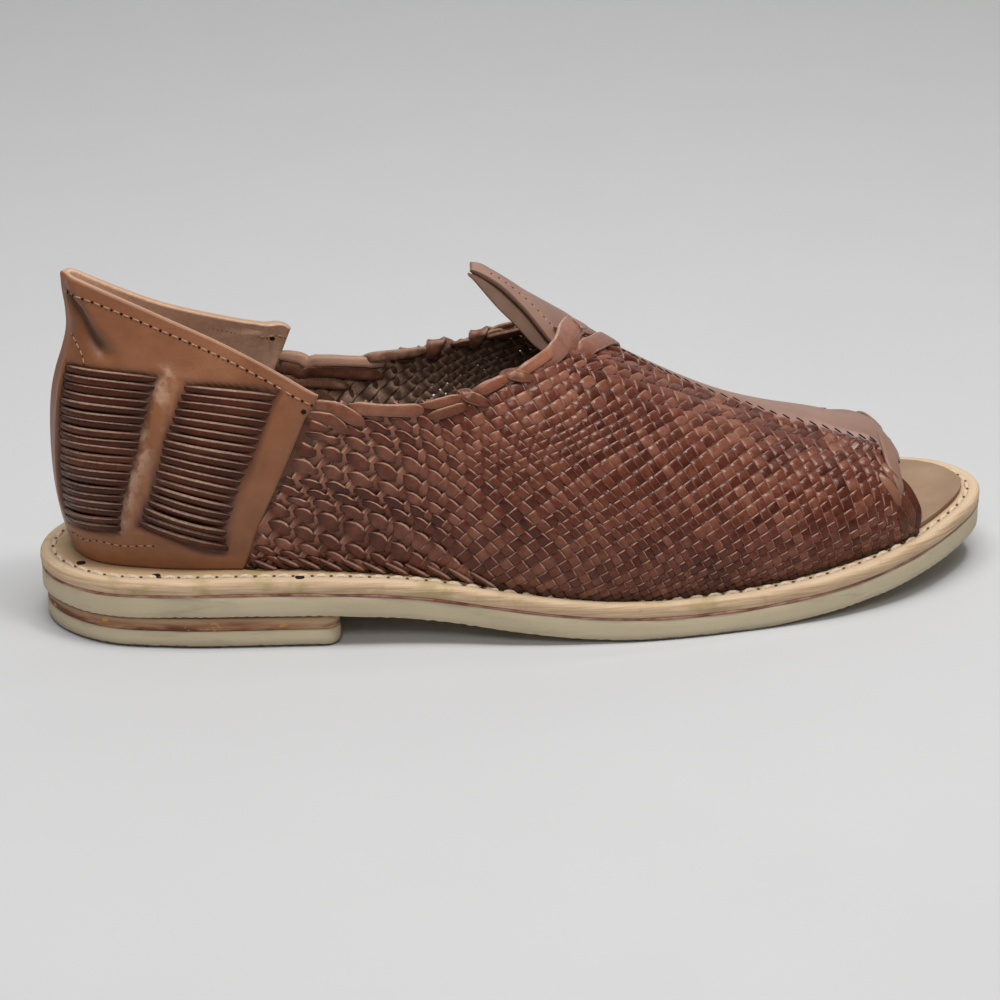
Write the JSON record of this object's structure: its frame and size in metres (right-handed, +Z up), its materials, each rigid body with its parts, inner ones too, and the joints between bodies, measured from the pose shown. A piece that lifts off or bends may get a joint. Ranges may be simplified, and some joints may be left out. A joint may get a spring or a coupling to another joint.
{
  "type": "leather shoe",
  "caption": "Hand-woven leather slip-on shoe with an open toe, a closed laced heel counter, a smooth vamp strip with a raised tongue, and a stacked leather and rubber sole. Right foot.",
  "frame": {"origin": "on the floor, under the middle of the shoe's length and width", "axes": "+X from the heel to the toe, +Y to the inner (medial) side of this right shoe, +Z up"},
  "size_m": [0.2982, 0.0938, 0.111],
  "materials": {
    "woven_leather": "polished mahogany brown leather laces, glossy, with pale raw edges",
    "vamp_leather": "smooth pinkish tan leather, satin",
    "lining_leather": "dark brown leather, matt",
    "footbed_leather": "tan vegetable-tanned leather, matt",
    "platform_leather": "pale tan leather with a hand-cut edge, matt",
    "sole_rubber": "olive-cream rubber, matt",
    "heel_leather": "orange-brown leather with a cut edge, matt",
    "heel_rubber": "olive-cream rubber, matt"
  },
  "bodies": {
    "root": {"upper": "woven_leather", "vamp_strip": "vamp_leather", "tongue_lining": "lining_leather", "insole": "footbed_leather", "midsole": "platform_leather", "outsole": "sole_rubber", "heel_lift": "heel_leather", "heel_top_piece": "heel_rubber"}
  },
  "joints": []
}
